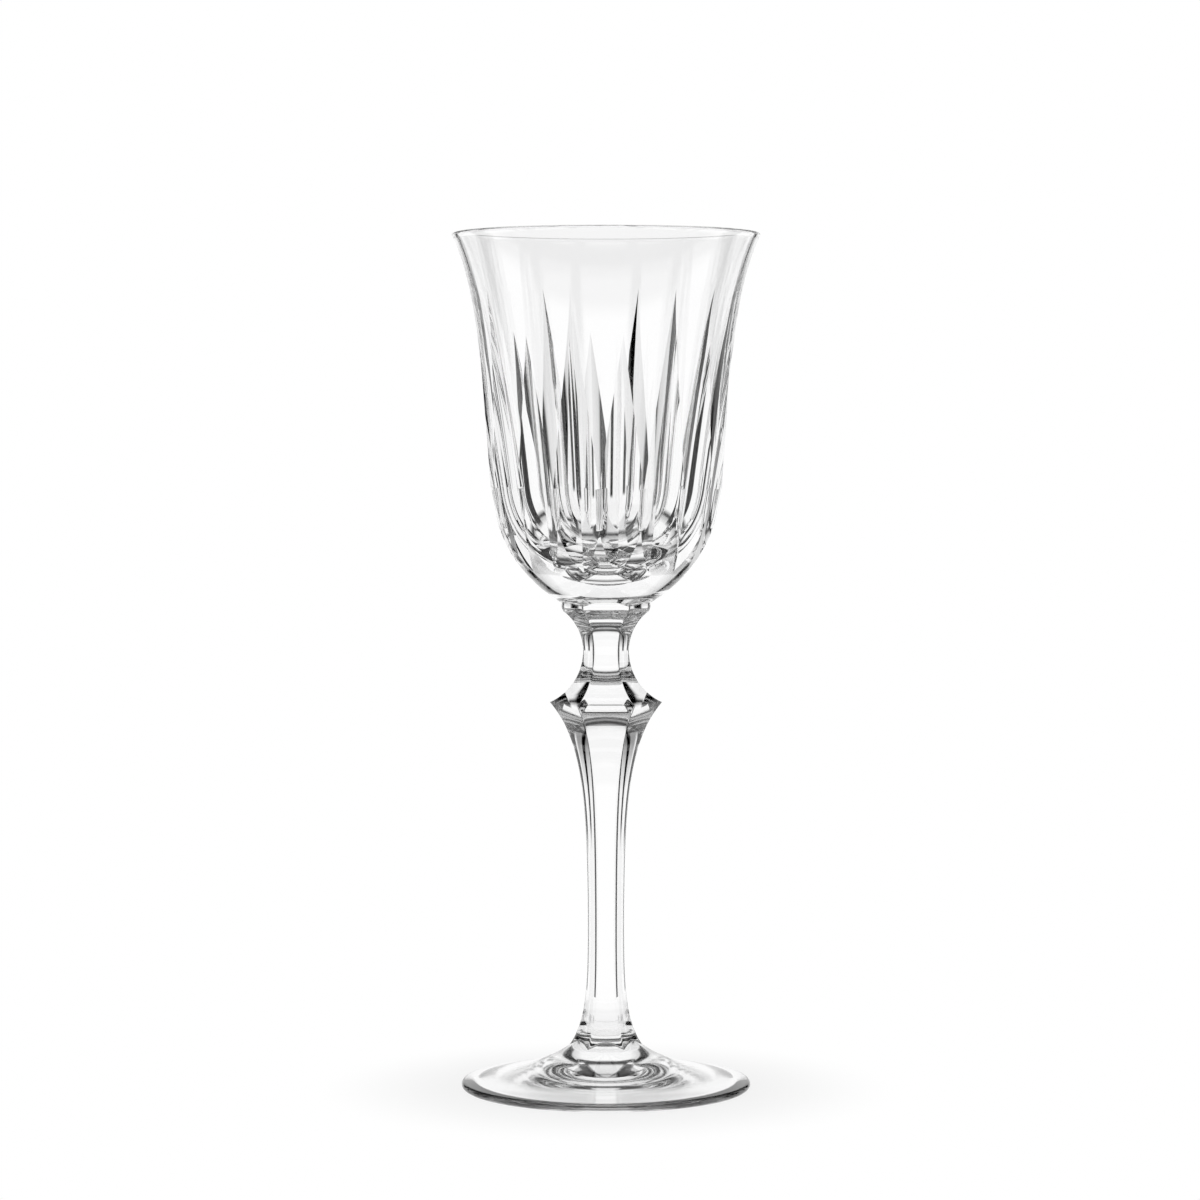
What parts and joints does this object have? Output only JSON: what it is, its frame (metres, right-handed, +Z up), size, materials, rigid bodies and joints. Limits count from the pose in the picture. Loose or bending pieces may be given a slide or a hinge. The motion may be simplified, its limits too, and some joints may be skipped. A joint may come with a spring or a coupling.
{
  "type": "white wine glass",
  "caption": "White wine glass in clear cut crystal: flared bowl with long and short wedge cuts, six-sided knopped stem, round foot.",
  "frame": {"origin": "centre of the foot's underside, in the plane that stands on the table", "axes": "+Z up along the axis of the stem, -Y towards the front flat of the stem"},
  "size_m": [0.0718, 0.0718, 0.2],
  "materials": {
    "crystal": "polished"
  },
  "bodies": {
    "root": {"foot": "crystal", "leg": "crystal", "knop": "crystal", "merese": "crystal", "bowl": "crystal"}
  },
  "joints": []
}
